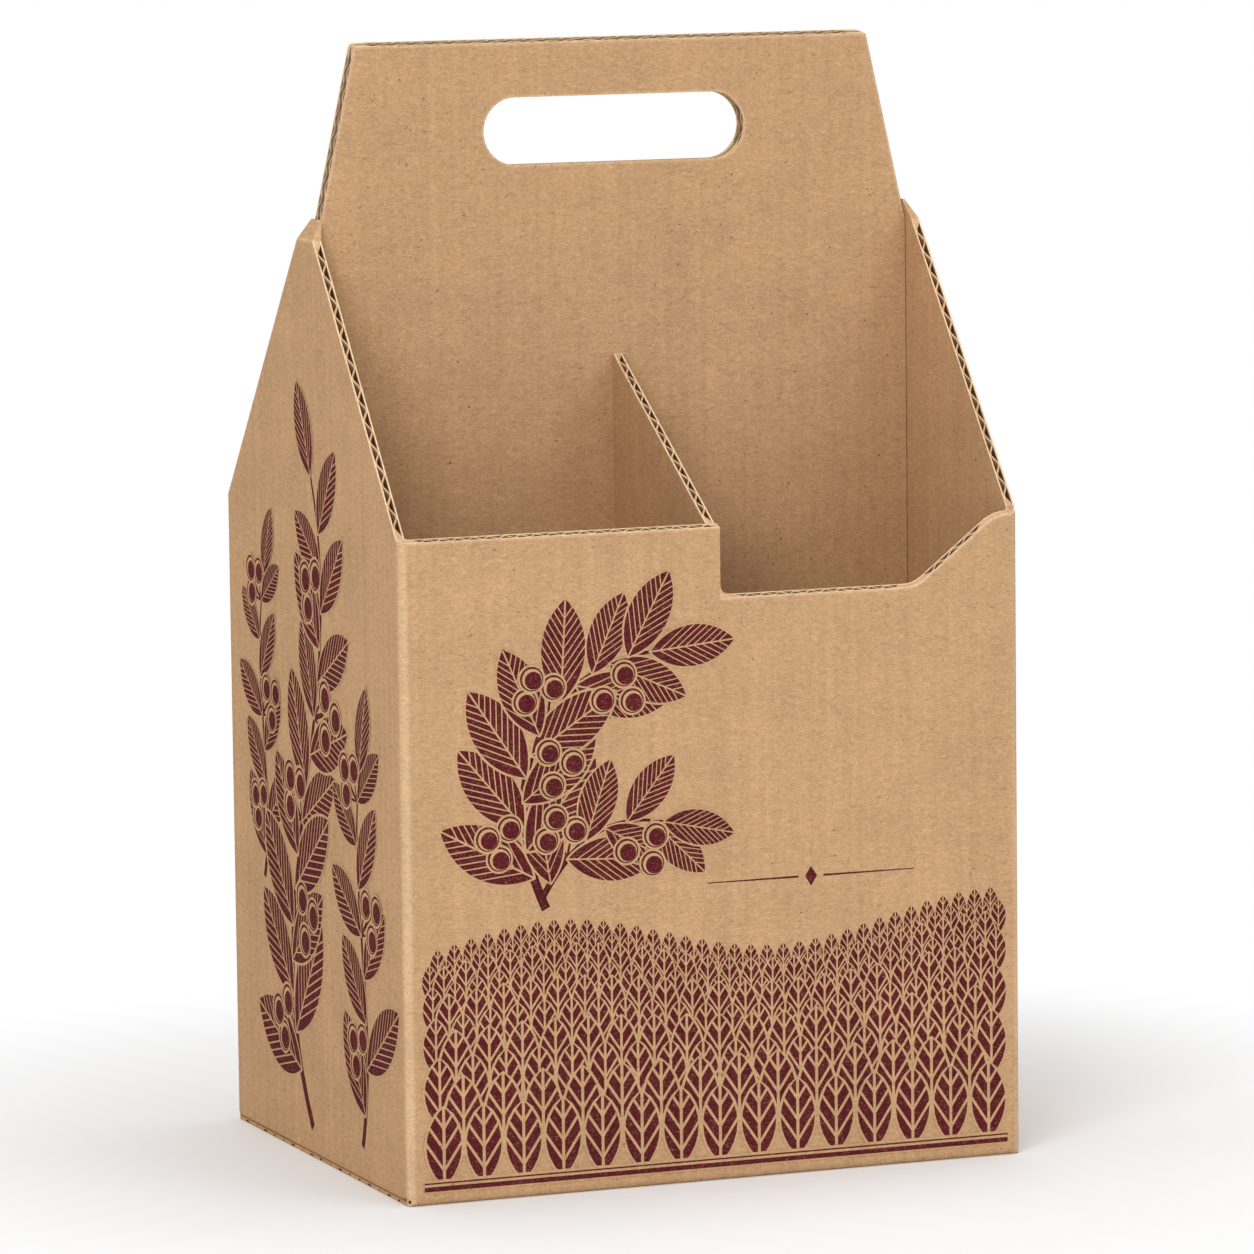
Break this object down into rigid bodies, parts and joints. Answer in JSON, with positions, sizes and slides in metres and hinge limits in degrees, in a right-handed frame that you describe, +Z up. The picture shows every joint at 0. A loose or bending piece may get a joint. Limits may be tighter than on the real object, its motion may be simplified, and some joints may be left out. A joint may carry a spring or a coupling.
{
  "type": "bottle shipping box",
  "caption": "Tall open carry box of corrugated board with gabled sides, a raised centre panel with a hand hole and crossed dividers that part the inside into bottle cells.",
  "frame": {"origin": "middle of the base, on the plane that the box stands on", "axes": "+X to the right along the front, +Y from the front to the back, +Z up"},
  "size_m": [0.21, 0.168, 0.359],
  "materials": {
    "outer_board": "unbleached kraft board, uncoated",
    "panel_board": "unbleached kraft board, uncoated",
    "divider_board": "unbleached kraft board, uncoated"
  },
  "bodies": {
    "root": {"outer_carton": "outer_board", "handle_front_ply": "panel_board", "handle_rear_ply": "panel_board", "cross_divider": "divider_board"}
  },
  "joints": []
}
